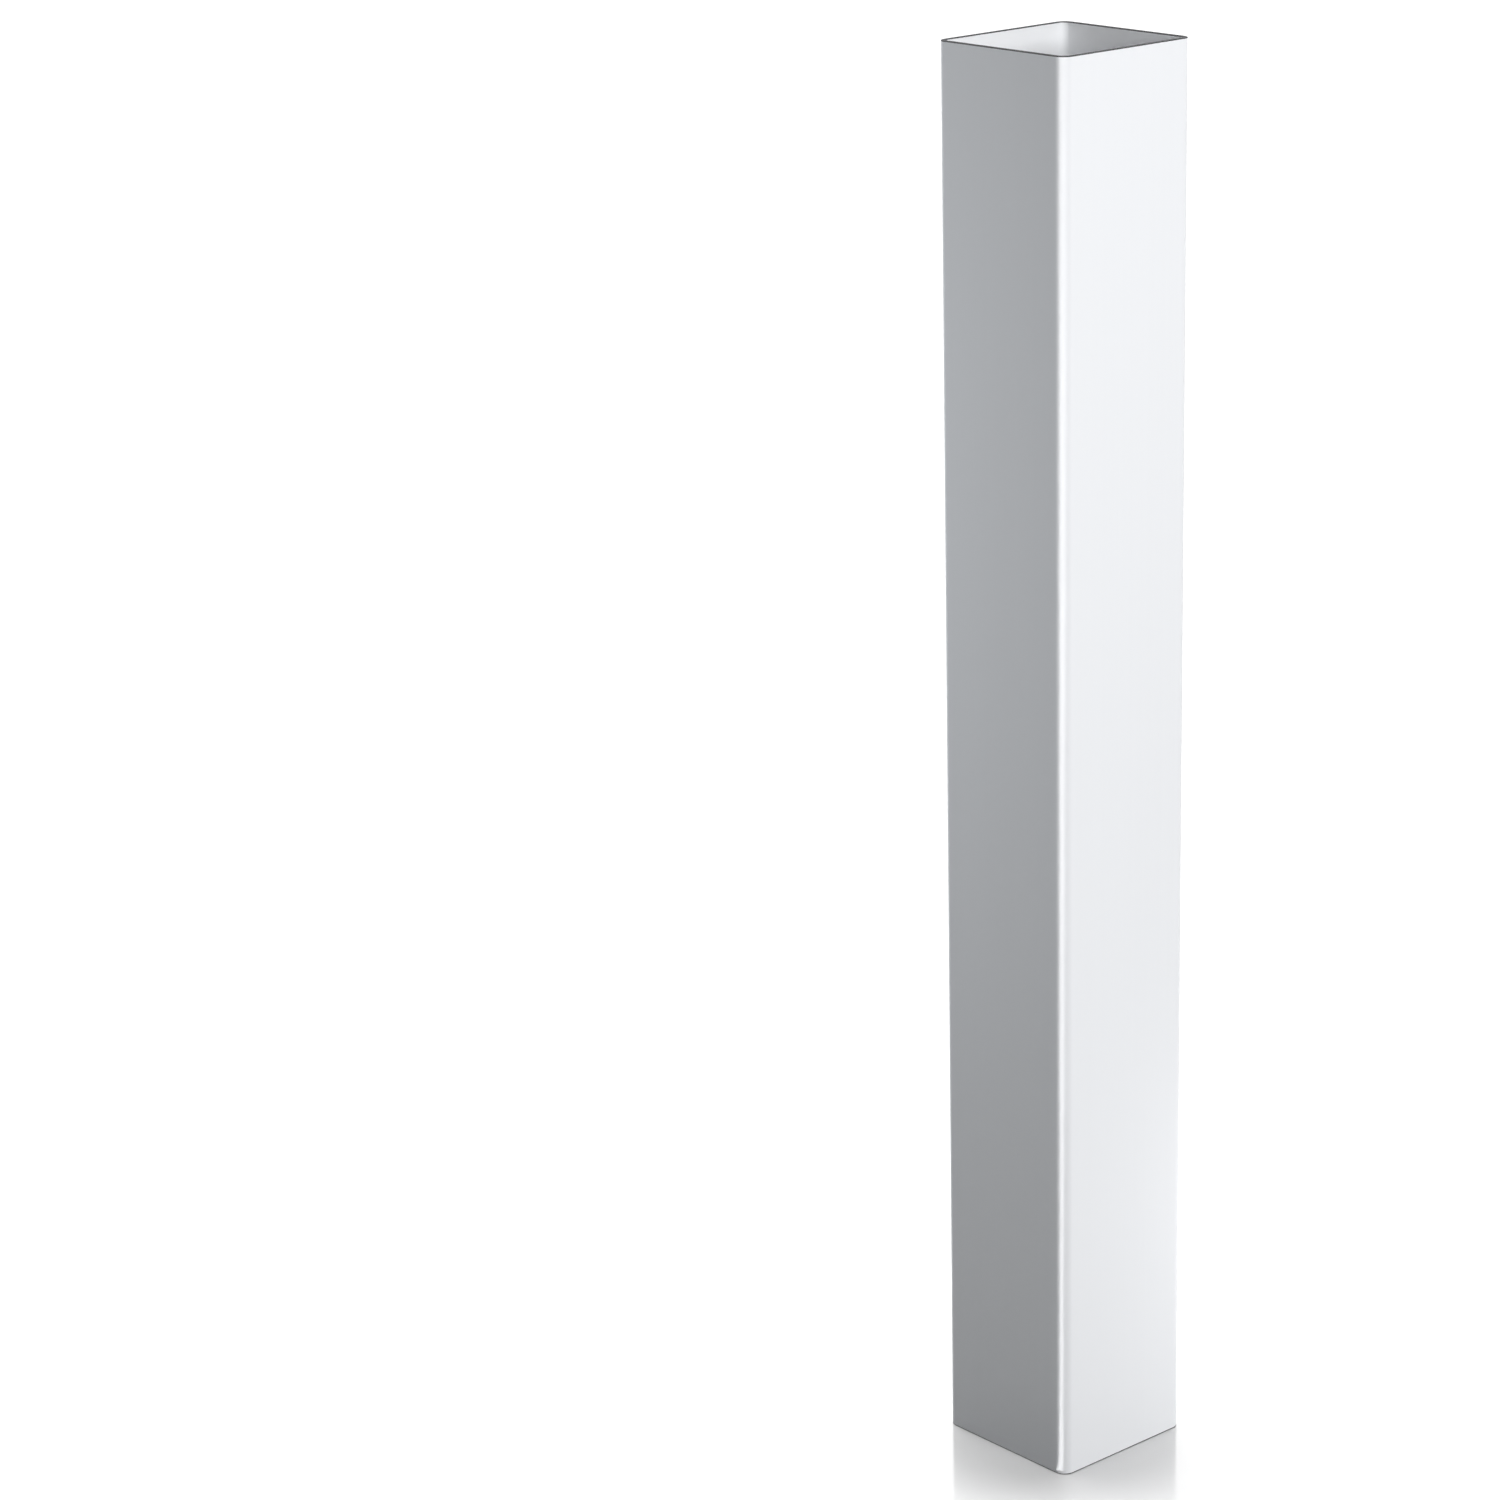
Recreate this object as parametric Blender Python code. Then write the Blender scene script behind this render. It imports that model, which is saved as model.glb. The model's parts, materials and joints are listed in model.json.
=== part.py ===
"""Square vinyl sleeve that slides down over a porch post.

One extruded tube, open at both ends, with an even wall and rounded upright
corners. It stands on its sawn lower end. Units are metres, with +Z up and the
origin at the middle of the foot.
"""

import math

import bmesh
import bpy

# Driving sizes
OUTER_SIDE = 0.1270  # across two opposite faces, a nominal 5 inch sleeve
LENGTH = 1.0668  # from sawn end to sawn end, cut at 42 inches
WALL = 0.0038  # thickness of the extruded wall, 0.150 inch
CORNER_RADIUS = 0.0090  # outside radius of the four upright corners
EDGE_BREAK = 0.0006  # bevel left on the sawn edges when they are deburred

# Fineness of the rounded corners
CORNER_STEPS = 20
SHARP_ANGLE = math.radians(30.0)

# Finish
VINYL_COLOUR = (0.86, 0.865, 0.875, 1.0)
VINYL_ROUGHNESS = 0.32
CORE_COLOUR = (0.115, 0.115, 0.120, 1.0)
CORE_ROUGHNESS = 0.75


def clear_scene():
    """Remove every object that the file opens with."""
    for old in list(bpy.data.objects):
        bpy.data.objects.remove(old, do_unlink=True)


def plain_material(name, colour, roughness):
    """Return a non-metallic material of one colour and roughness."""
    material = bpy.data.materials.new(name)
    material.use_nodes = True
    shader = material.node_tree.nodes["Principled BSDF"]
    shader.inputs["Base Color"].default_value = colour
    shader.inputs["Roughness"].default_value = roughness
    shader.inputs["Metallic"].default_value = 0.0
    material.diffuse_color = colour
    return material


def sleeve_outline(inset):
    """Return the rounded square that lies inset below the sleeve's outer faces.

    Its corners share their centres with the outer ones, so that the wall keeps
    its thickness round each corner. No corner is sharper than a broken edge.
    """
    half_side = OUTER_SIDE / 2 - inset
    radius = max(CORNER_RADIUS - inset, EDGE_BREAK)
    centre = half_side - radius
    points = []
    for sign_x, sign_y, start in ((1, 1, 0.0), (-1, 1, 0.5), (-1, -1, 1.0), (1, -1, 1.5)):
        for step in range(CORNER_STEPS + 1):
            angle = math.pi * (start + 0.5 * step / CORNER_STEPS)
            x = sign_x * centre + radius * math.cos(angle)
            y = sign_y * centre + radius * math.sin(angle)
            points.append((x, y))
    return points


def wall_section():
    """Return the wall's upright section as (inset, height) pairs, in order round it.

    It climbs the outer face, crosses the top end, goes down the inner face and
    comes back across the foot. Its four edges are broken by a small bevel.
    """
    return [
        (0.0, EDGE_BREAK),
        (0.0, LENGTH - EDGE_BREAK),
        (EDGE_BREAK, LENGTH),
        (WALL - EDGE_BREAK, LENGTH),
        (WALL, LENGTH - EDGE_BREAK),
        (WALL, EDGE_BREAK),
        (WALL - EDGE_BREAK, 0.0),
        (EDGE_BREAK, 0.0),
    ]


def make_sleeve():
    """Sweep the wall's section round the sleeve, as one closed tube."""
    mesh = bpy.data.meshes.new("post_sleeve")
    mesh.materials.append(plain_material("white_vinyl", VINYL_COLOUR, VINYL_ROUGHNESS))
    mesh.materials.append(plain_material("sawn_core", CORE_COLOUR, CORE_ROUGHNESS))

    bm = bmesh.new()
    rings = []
    for inset, height in wall_section():
        rings.append([bm.verts.new((x, y, height)) for x, y in sleeve_outline(inset)])
    for ring, next_ring in zip(rings, rings[1:] + rings[:1]):
        for corner in range(len(ring)):
            before = corner - 1
            face = bm.faces.new((ring[before], ring[corner], next_ring[corner], next_ring[before]))
            is_sawn = ring[corner].co.z == next_ring[corner].co.z
            face.material_index = 1 if is_sawn else 0
    bmesh.ops.recalc_face_normals(bm, faces=bm.faces)
    bm.to_mesh(mesh)
    bm.free()

    mesh.shade_smooth()
    mesh.set_sharp_from_angle(angle=SHARP_ANGLE)
    sleeve = bpy.data.objects.new("post_sleeve", mesh)
    bpy.context.scene.collection.objects.link(sleeve)
    return sleeve


clear_scene()
make_sleeve()
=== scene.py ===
"""Studio scene of the square vinyl post sleeve.

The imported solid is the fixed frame. A finer shell stands for it, with its own
materials for the outer skin, the inner wall and the sawn ends. Units are metres.
"""

import json
import math

import bmesh
import bpy
from mathutils import Euler, Matrix, Vector

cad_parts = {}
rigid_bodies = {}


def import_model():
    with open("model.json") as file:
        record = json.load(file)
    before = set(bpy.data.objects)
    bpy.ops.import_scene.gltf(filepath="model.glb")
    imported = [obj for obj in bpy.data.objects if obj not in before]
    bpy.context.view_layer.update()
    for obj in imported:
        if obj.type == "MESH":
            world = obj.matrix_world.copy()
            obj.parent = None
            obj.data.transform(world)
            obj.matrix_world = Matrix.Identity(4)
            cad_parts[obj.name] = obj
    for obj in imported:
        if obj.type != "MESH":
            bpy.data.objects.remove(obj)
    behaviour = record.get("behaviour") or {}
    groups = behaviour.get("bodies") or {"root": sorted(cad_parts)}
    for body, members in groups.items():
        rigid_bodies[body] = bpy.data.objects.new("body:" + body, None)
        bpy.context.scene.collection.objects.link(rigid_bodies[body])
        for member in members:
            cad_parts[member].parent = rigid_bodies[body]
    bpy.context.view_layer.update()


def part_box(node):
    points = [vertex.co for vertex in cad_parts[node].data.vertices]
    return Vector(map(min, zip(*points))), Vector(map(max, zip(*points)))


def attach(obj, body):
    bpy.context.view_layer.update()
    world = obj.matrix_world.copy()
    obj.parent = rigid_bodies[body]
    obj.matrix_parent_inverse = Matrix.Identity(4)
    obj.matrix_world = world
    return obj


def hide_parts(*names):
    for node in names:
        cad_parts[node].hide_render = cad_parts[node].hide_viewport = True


for old in list(bpy.data.objects):
    bpy.data.objects.remove(old, do_unlink=True)

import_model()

# The sleeve's sizes: the side and the length come from the solid
SOLID = "post_sleeve"
FOOT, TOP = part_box(SOLID)
SIDE = TOP.x - FOOT.x
LENGTH = TOP.z - FOOT.z
WALL = 0.0038
CORNER_RADIUS = 0.0090
EDGE_BREAK = 0.0006

# Fineness of the shell's mesh. A narrow strip beside each round corner keeps the flats flat.
CORNER_STEPS = 24
BREAK_STEPS = 3
LENGTH_STEPS = 24
FLAT_STRIP = 0.0005
SHARP_ANGLE = math.radians(10.0)

# Materials, in the order of the shell's slots
SKIN, BORE, CORE = range(3)

# Rigid vinyl, and the dark grey core that a saw lays bare. Heights of relief are in metres.
VINYL_IOR = 1.53
SKIN_COLOUR = (0.860, 0.874, 0.898, 1.0)
SKIN_ROUGHNESS = 0.32
SKIN_RELIEF = 0.00002
BORE_COLOUR = (0.815, 0.825, 0.841, 1.0)
BORE_ROUGHNESS = 0.5
BORE_RELIEF = 0.00006
CORE_COLOUR = (0.050, 0.050, 0.052, 1.0)
CORE_FLECK = (0.030, 0.030, 0.032, 1.0)
CORE_ROUGHNESS = 0.8
CORE_SPECULAR = 0.2

# Faint lines along the extrusion and a fine grain on the vinyl, and saw marks on the core.
# A larger scale makes the marks finer in that direction.
LINE_SCALES = (260.0, 260.0, 1.5)
LINE_DETAIL = 3.0
LINE_DARKENING = 0.985
LINE_ROUGHENING = 0.05
LINE_BUMP = 0.15
GRAIN_SCALE = 900.0
GRAIN_DETAIL = 2.0
GRAIN_BUMP = 0.08
SAW_SCALES = (900.0, 60.0, 60.0)
SAW_DETAIL = 4.0
SAW_BUMP = 0.3
SAW_RELIEF = 0.0001
UNSTRETCHED = (1.0, 1.0, 1.0)

# The camera looks at the corner between the -Y face and the +X face
CAMERA_DISTANCE = 3.024
CAMERA_HEIGHT = 1.500
CAMERA_AZIMUTH = math.radians(45.0)
CAMERA_PITCH = math.radians(17.47)
CAMERA_YAW = math.radians(4.377)
CAMERA_ROLL = math.radians(-1.324)
CAMERA_LENS = 103.3
SENSOR_WIDTH = 36.0

# The floor is polished round the sleeve's foot, and matt from a little way out.
# The polish is grey, so round the foot it darkens the floor and dims the sleeve's real mirror
# image: a painted shade under the sleeve.
FLOOR_SIZE = 60.0
FLOOR_COLOUR = (0.98, 0.98, 0.98, 1.0)
POLISH = 0.45
POLISH_PAINTED_SHADE_COLOUR = (0.50, 0.50, 0.50, 1.0)
POLISH_ROUGHNESS = 0.12
POLISH_RADII = (0.085, 0.200)

# The studio: a wide soft light overhead, a little behind, and soft boxes round the sleeve
OVERHEAD_SPOT = (-0.45, 0.15, 3.0)
OVERHEAD_STRENGTH = 4.2
OVERHEAD_SPREAD = math.radians(40.0)
SURROUND_STRENGTH = 2.2
SOFT_BOXES = {
    "left_fill": {
        "spot": (-0.81, -0.58, 0.86), "aim": (0.0, 0.0, 0.60),
        "side": 0.15, "watts": 4.05, "colour": (0.925, 0.965, 1.0)},
    "right_foot": {
        "spot": (0.20, 0.31, 0.10), "aim": (0.0, 0.0, 0.15),
        "side": 0.15, "watts": 0.33, "colour": (1.0, 1.0, 1.0)},
    "right_middle": {
        "spot": (1.98, -0.08, 0.88), "aim": (0.0, 0.0, 0.03),
        "side": 0.22, "watts": 6.1, "colour": (1.0, 1.0, 1.0)},
    "right_high": {
        "spot": (2.90, -0.41, 1.64), "aim": (0.0, 0.0, 0.51),
        "side": 0.70, "watts": 76.5, "colour": (1.0, 1.0, 1.0)},
    "rear_high": {
        "spot": (-1.54, 2.88, 2.42), "aim": (0.0, 0.0, 0.46),
        "side": 1.20, "watts": 29.7, "colour": (1.0, 1.0, 1.0)},
    "rear_middle": {
        "spot": (-1.67, 2.87, 1.59), "aim": (0.0, 0.0, 0.44),
        "side": 1.01, "watts": 32.7, "colour": (1.0, 1.0, 1.0)},
}

# A bright card fans out and up from the near corner, which mirrors it as a fine line.
# Each row gives a distance from the corner and the azimuths of the card's two edges there,
# in degrees from -Y to +X. The card fades from its first edge to its last, and outwards.
CARD_ROWS = [(0.3, 0.0, 40.0), (1.0, 1.0, 52.0), (1.9, 1.0, 64.0), (3.4, 0.0, 72.0)]
CARD_STEPS = 6
CARD_RISE = math.tan(math.radians(11.0))
CARD_LIFT = 0.001
CARD_GLOW = 10.0
CARD_LAST_GLOW = 4.0

# The glow is multiplied by the near gain at the corner, and by the far one beyond the reach
CARD_NEAR_GAIN = 1.38
CARD_FAR_GAIN = 1.17
CARD_GAIN_REACH = 0.8

# What a radial gradient reads in the direction of -Y
GRADIENT_AT_MINUS_Y = 0.25


def sleeve_outline(inset):
    """Return the rounded square that lies inset below the outer faces."""
    radius = CORNER_RADIUS - inset
    centre = SIDE / 2 - CORNER_RADIUS
    points = []
    for sign_x, sign_y, start in ((1, 1, 0.0), (-1, 1, 0.5), (-1, -1, 1.0), (1, -1, 1.5)):
        arc = []
        for step in range(CORNER_STEPS + 1):
            angle = math.pi * (start + 0.5 * step / CORNER_STEPS)
            x = sign_x * centre + radius * math.cos(angle)
            y = sign_y * centre + radius * math.sin(angle)
            arc.append((x, y))
        turn = math.pi * start
        ahead = FLAT_STRIP * math.sin(turn), -FLAT_STRIP * math.cos(turn)
        beyond = -FLAT_STRIP * math.cos(turn), -FLAT_STRIP * math.sin(turn)
        points.append((arc[0][0] + ahead[0], arc[0][1] + ahead[1]))
        points += arc
        points.append((arc[-1][0] + beyond[0], arc[-1][1] + beyond[1]))
    return points


def broken_edge(inset, height, start):
    """Return the rounded edge of the wall's section, as (inset, height) pairs.

    The edge turns clockwise about the point (inset, height), from the angle start.
    """
    pairs = []
    for step in range(BREAK_STEPS + 1):
        angle = start - 0.5 * math.pi * step / BREAK_STEPS
        x = inset + EDGE_BREAK * math.cos(angle)
        z = height + EDGE_BREAK * math.sin(angle)
        pairs.append((x, z))
    return pairs


def wall_section():
    """Return the wall's upright section and the material of each stretch.

    It climbs the outer face, crosses the top end, goes down the bore and comes
    back across the foot. The broken edges show the core, as the sawn ends do.
    """
    low = FOOT.z + EDGE_BREAK
    high = TOP.z - EDGE_BREAK
    near = EDGE_BREAK
    far = WALL - EDGE_BREAK
    climb = [low + (high - low) * step / LENGTH_STEPS for step in range(1, LENGTH_STEPS)]

    section = []
    for inset, height, start, after in (
            (near, low, -0.5 * math.pi, SKIN), (near, high, math.pi, CORE),
            (far, high, 0.5 * math.pi, BORE), (far, low, 0.0, CORE)):
        edge = broken_edge(inset, height, start)
        section += [(pair, CORE) for pair in edge[:-1]]
        section.append((edge[-1], after))
        if after == SKIN:
            section += [((0.0, z), SKIN) for z in climb]
        if after == BORE:
            section += [((WALL, z), BORE) for z in reversed(climb)]
    return section


def make_shell(materials):
    """Sweep the wall's section round the sleeve."""
    mesh = bpy.data.meshes.new("sleeve_shell")
    for material in materials:
        mesh.materials.append(material)
    bm = bmesh.new()
    section = wall_section()
    rings = []
    for (inset, height), _ in section:
        rings.append([bm.verts.new((x, y, height)) for x, y in sleeve_outline(inset)])
    for (_, slot), ring, next_ring in zip(section, rings, rings[1:] + rings[:1]):
        for corner in range(len(ring)):
            before = corner - 1
            face = bm.faces.new((ring[before], ring[corner], next_ring[corner], next_ring[before]))
            face.material_index = slot
    bmesh.ops.recalc_face_normals(bm, faces=bm.faces)
    bm.to_mesh(mesh)
    bm.free()
    mesh.shade_smooth()
    mesh.set_sharp_from_angle(angle=SHARP_ANGLE)
    shell = bpy.data.objects.new("sleeve_shell", mesh)
    bpy.context.scene.collection.objects.link(shell)
    return shell


def new_material(name):
    """Return a material, its nodes and its links."""
    material = bpy.data.materials.new(name)
    material.use_nodes = True
    tree = material.node_tree
    return material, tree.nodes, tree.links


def stretched_noise(nodes, links, scale, detail, stretch):
    """Add noise in the sleeve's own coordinates, stretched by the three scales."""
    place = nodes.new("ShaderNodeTexCoord")
    mapping = nodes.new("ShaderNodeMapping")
    mapping.inputs["Scale"].default_value = stretch
    noise = nodes.new("ShaderNodeTexNoise")
    noise.inputs["Scale"].default_value = scale
    noise.inputs["Detail"].default_value = detail
    links.new(place.outputs["Object"], mapping.inputs["Vector"])
    links.new(mapping.outputs["Vector"], noise.inputs["Vector"])
    return noise.outputs["Fac"]


def mapped(nodes, links, value, low, high):
    """Map a 0 to 1 value to the range from low to high."""
    ranger = nodes.new("ShaderNodeMapRange")
    ranger.inputs["To Min"].default_value = low
    ranger.inputs["To Max"].default_value = high
    links.new(value, ranger.inputs["Value"])
    return ranger.outputs["Result"]


def blended(nodes, links, value, low_colour, high_colour):
    """Blend two colours by a 0 to 1 value."""
    mix = nodes.new("ShaderNodeMix")
    mix.data_type = "RGBA"
    mix.inputs["A"].default_value = low_colour
    mix.inputs["B"].default_value = high_colour
    links.new(value, mix.inputs["Factor"])
    return mix.outputs["Result"]


def bumped(nodes, links, height, strength, distance, under=None):
    """Add a bump, on top of the one under it."""
    bump = nodes.new("ShaderNodeBump")
    bump.inputs["Strength"].default_value = strength
    bump.inputs["Distance"].default_value = distance
    links.new(height, bump.inputs["Height"])
    if under is not None:
        links.new(under, bump.inputs["Normal"])
    return bump.outputs["Normal"]


def vinyl_material(name, colour, roughness, relief):
    """White vinyl with faint lines along the extrusion and a fine grain."""
    material, nodes, links = new_material(name)
    shader = nodes["Principled BSDF"]
    shader.inputs["IOR"].default_value = VINYL_IOR
    lines = stretched_noise(nodes, links, 1.0, LINE_DETAIL, LINE_SCALES)
    grain = stretched_noise(nodes, links, GRAIN_SCALE, GRAIN_DETAIL, UNSTRETCHED)
    shade = [LINE_DARKENING * part for part in colour[:3]] + [1.0]
    links.new(blended(nodes, links, lines, shade, colour), shader.inputs["Base Color"])
    smoothest = roughness - LINE_ROUGHENING
    roughest = roughness + LINE_ROUGHENING
    links.new(mapped(nodes, links, lines, smoothest, roughest), shader.inputs["Roughness"])
    line_normal = bumped(nodes, links, lines, LINE_BUMP, relief)
    normal = bumped(nodes, links, grain, GRAIN_BUMP, relief, line_normal)
    links.new(normal, shader.inputs["Normal"])
    return material


def core_material():
    """The dark grey core that shows on the sawn ends, with fine saw marks."""
    material, nodes, links = new_material("sawn_core")
    shader = nodes["Principled BSDF"]
    shader.inputs["Roughness"].default_value = CORE_ROUGHNESS
    shader.inputs["Specular IOR Level"].default_value = CORE_SPECULAR
    marks = stretched_noise(nodes, links, 1.0, SAW_DETAIL, SAW_SCALES)
    links.new(blended(nodes, links, marks, CORE_FLECK, CORE_COLOUR), shader.inputs["Base Color"])
    links.new(bumped(nodes, links, marks, SAW_BUMP, SAW_RELIEF), shader.inputs["Normal"])
    return material


def floor_material():
    """A matt white floor with a soft grey polish that fades out away from the foot. The grey
    paints shade round the foot, dimming the floor and its real mirror image of the sleeve.
    """
    material, nodes, links = new_material("pale_floor")
    nodes.remove(nodes["Principled BSDF"])
    matt = nodes.new("ShaderNodeBsdfDiffuse")
    matt.inputs["Color"].default_value = FLOOR_COLOUR
    gloss = nodes.new("ShaderNodeBsdfAnisotropic")
    # Painted shade: the grey of the polish darkens the floor round the foot and dims the sleeve's
    # mirror image there.
    gloss.inputs["Color"].default_value = POLISH_PAINTED_SHADE_COLOUR
    gloss.inputs["Roughness"].default_value = POLISH_ROUGHNESS
    place = nodes.new("ShaderNodeTexCoord")
    reach = nodes.new("ShaderNodeVectorMath")
    reach.operation = "LENGTH"
    fade = nodes.new("ShaderNodeMapRange")
    fade.interpolation_type = "SMOOTHSTEP"
    fade.inputs["From Min"].default_value, fade.inputs["From Max"].default_value = POLISH_RADII
    fade.inputs["To Min"].default_value = POLISH
    fade.inputs["To Max"].default_value = 0.0
    mix = nodes.new("ShaderNodeMixShader")
    links.new(place.outputs["Object"], reach.inputs[0])
    links.new(reach.outputs["Value"], fade.inputs["Value"])
    links.new(fade.outputs["Result"], mix.inputs["Fac"])
    links.new(matt.outputs["BSDF"], mix.inputs[1])
    links.new(gloss.outputs["BSDF"], mix.inputs[2])
    links.new(mix.outputs["Shader"], nodes["Material Output"].inputs["Surface"])
    return material


def make_floor():
    """A wide pale floor that throws no light back on the sleeve."""
    mesh = bpy.data.meshes.new("studio_floor")
    half = FLOOR_SIZE / 2
    corners = [(-half, -half, 0.0), (half, -half, 0.0), (half, half, 0.0), (-half, half, 0.0)]
    mesh.from_pydata(corners, [], [(0, 1, 2, 3)])
    mesh.materials.append(floor_material())
    floor = bpy.data.objects.new("studio_floor", mesh)
    floor.location.z = FOOT.z
    floor.visible_diffuse = False
    bpy.context.scene.collection.objects.link(floor)


def make_world():
    """A white surround, which shows and is mirrored but lights nothing by itself."""
    world = bpy.data.worlds.new("studio")
    world.use_nodes = True
    background = world.node_tree.nodes["Background"]
    background.inputs["Color"].default_value = (1.0, 1.0, 1.0, 1.0)
    background.inputs["Strength"].default_value = SURROUND_STRENGTH
    world.cycles_visibility.diffuse = False
    bpy.context.scene.world = world


def add_lamp(name, lamp, spot, aim):
    """Add a lamp at a spot, turned to its aim. It shows neither directly nor mirrored."""
    light = bpy.data.objects.new(name, lamp)
    light.location = spot
    light.rotation_euler = (Vector(aim) - Vector(spot)).to_track_quat("-Z", "Y").to_euler()
    light.visible_camera = False
    light.visible_glossy = False
    bpy.context.scene.collection.objects.link(light)
    return light


def add_overhead():
    """A very wide light from above, even over the whole floor."""
    lamp = bpy.data.lights.new("overhead", "SUN")
    lamp.energy = OVERHEAD_STRENGTH
    lamp.angle = OVERHEAD_SPREAD
    add_lamp("overhead", lamp, OVERHEAD_SPOT, (0.0, 0.0, 0.0))


def add_soft_box(receivers, name, spot, aim, side, watts, colour):
    """A soft square lamp that lights the receivers alone, so that the floor stays even."""
    lamp = bpy.data.lights.new(name, "AREA")
    lamp.shape = "SQUARE"
    lamp.size = side
    lamp.energy = watts
    lamp.color = colour
    light = add_lamp(name, lamp, spot, aim)
    light.light_linking.receiver_collection = receivers


def card_material():
    """A glow that fades with the azimuth and with the distance. The card is clear from below."""
    material, nodes, links = new_material("card_glow")
    nodes.remove(nodes["Principled BSDF"])
    place = nodes.new("ShaderNodeTexCoord")
    bearing = nodes.new("ShaderNodeTexGradient")
    bearing.gradient_type = "RADIAL"
    fade = nodes.new("ShaderNodeMapRange")
    _, first, last = CARD_ROWS[-1]
    fade.inputs["From Min"].default_value = GRADIENT_AT_MINUS_Y + first / 360.0
    fade.inputs["From Max"].default_value = GRADIENT_AT_MINUS_Y + last / 360.0
    fade.inputs["To Min"].default_value = CARD_GLOW
    fade.inputs["To Max"].default_value = CARD_LAST_GLOW
    reach = nodes.new("ShaderNodeVectorMath")
    reach.operation = "LENGTH"
    gain = nodes.new("ShaderNodeMapRange")
    gain.inputs["From Max"].default_value = CARD_GAIN_REACH
    gain.inputs["To Min"].default_value = CARD_NEAR_GAIN
    gain.inputs["To Max"].default_value = CARD_FAR_GAIN
    strength = nodes.new("ShaderNodeMath")
    strength.operation = "MULTIPLY"
    glow = nodes.new("ShaderNodeEmission")
    clear = nodes.new("ShaderNodeBsdfTransparent")
    side = nodes.new("ShaderNodeNewGeometry")
    mix = nodes.new("ShaderNodeMixShader")
    links.new(place.outputs["Object"], bearing.inputs["Vector"])
    links.new(bearing.outputs["Fac"], fade.inputs["Value"])
    links.new(place.outputs["Object"], reach.inputs[0])
    links.new(reach.outputs["Value"], gain.inputs["Value"])
    links.new(fade.outputs["Result"], strength.inputs[0])
    links.new(gain.outputs["Result"], strength.inputs[1])
    links.new(strength.outputs["Value"], glow.inputs["Strength"])
    links.new(side.outputs["Backfacing"], mix.inputs["Fac"])
    links.new(glow.outputs["Emission"], mix.inputs[1])
    links.new(clear.outputs["BSDF"], mix.inputs[2])
    links.new(mix.outputs["Shader"], nodes["Material Output"].inputs["Surface"])
    return material


def add_card():
    """A glowing card that only the gloss of the surfaces picks up."""
    corners = [(0.0, 0.0, 0.0)]
    for distance, first, last in CARD_ROWS:
        for step in range(CARD_STEPS + 1):
            azimuth = math.radians(first + (last - first) * step / CARD_STEPS)
            corners.append((
                distance * math.sin(azimuth), -distance * math.cos(azimuth), distance * CARD_RISE))
    faces = []
    for step in range(1, CARD_STEPS + 1):
        faces.append((0, step, step + 1))
        for row in range(len(CARD_ROWS) - 1):
            near = row * (CARD_STEPS + 1) + step
            far = near + CARD_STEPS + 1
            faces.append((near, far, far + 1, near + 1))
    mesh = bpy.data.meshes.new("corner_card")
    mesh.from_pydata(corners, [], faces)
    mesh.materials.append(card_material())
    card = bpy.data.objects.new("corner_card", mesh)
    centre = SIDE / 2 - CORNER_RADIUS
    card.location = (centre, -centre, FOOT.z + CARD_LIFT)
    card.visible_camera = False
    card.visible_diffuse = False
    card.visible_shadow = False
    bpy.context.scene.collection.objects.link(card)


def add_camera():
    """Place the camera, turned as it was for the photograph."""
    data = bpy.data.cameras.new("camera")
    data.lens = CAMERA_LENS
    data.sensor_width = SENSOR_WIDTH
    camera = bpy.data.objects.new("camera", data)
    camera.location = (
        CAMERA_DISTANCE * math.sin(CAMERA_AZIMUTH), -CAMERA_DISTANCE * math.cos(CAMERA_AZIMUTH),
        FOOT.z + CAMERA_HEIGHT)
    turn = Euler((math.pi / 2 - CAMERA_PITCH, 0.0, CAMERA_AZIMUTH + CAMERA_YAW)).to_matrix()
    roll = Matrix.Rotation(CAMERA_ROLL, 3, "Z")
    camera.rotation_euler = (turn @ roll).to_euler()
    bpy.context.scene.collection.objects.link(camera)
    bpy.context.scene.camera = camera


shell = make_shell([
    vinyl_material("white_vinyl", SKIN_COLOUR, SKIN_ROUGHNESS, SKIN_RELIEF),
    vinyl_material("dull_vinyl", BORE_COLOUR, BORE_ROUGHNESS, BORE_RELIEF),
    core_material(),
])
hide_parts(SOLID)
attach(shell, "root")

make_floor()
make_world()
add_overhead()
subject = bpy.data.collections.new("subject")
subject.objects.link(shell)
for box_name, box in SOFT_BOXES.items():
    add_soft_box(subject, box_name, **box)
add_card()
add_camera()
bpy.context.scene.view_settings.view_transform = "Standard"
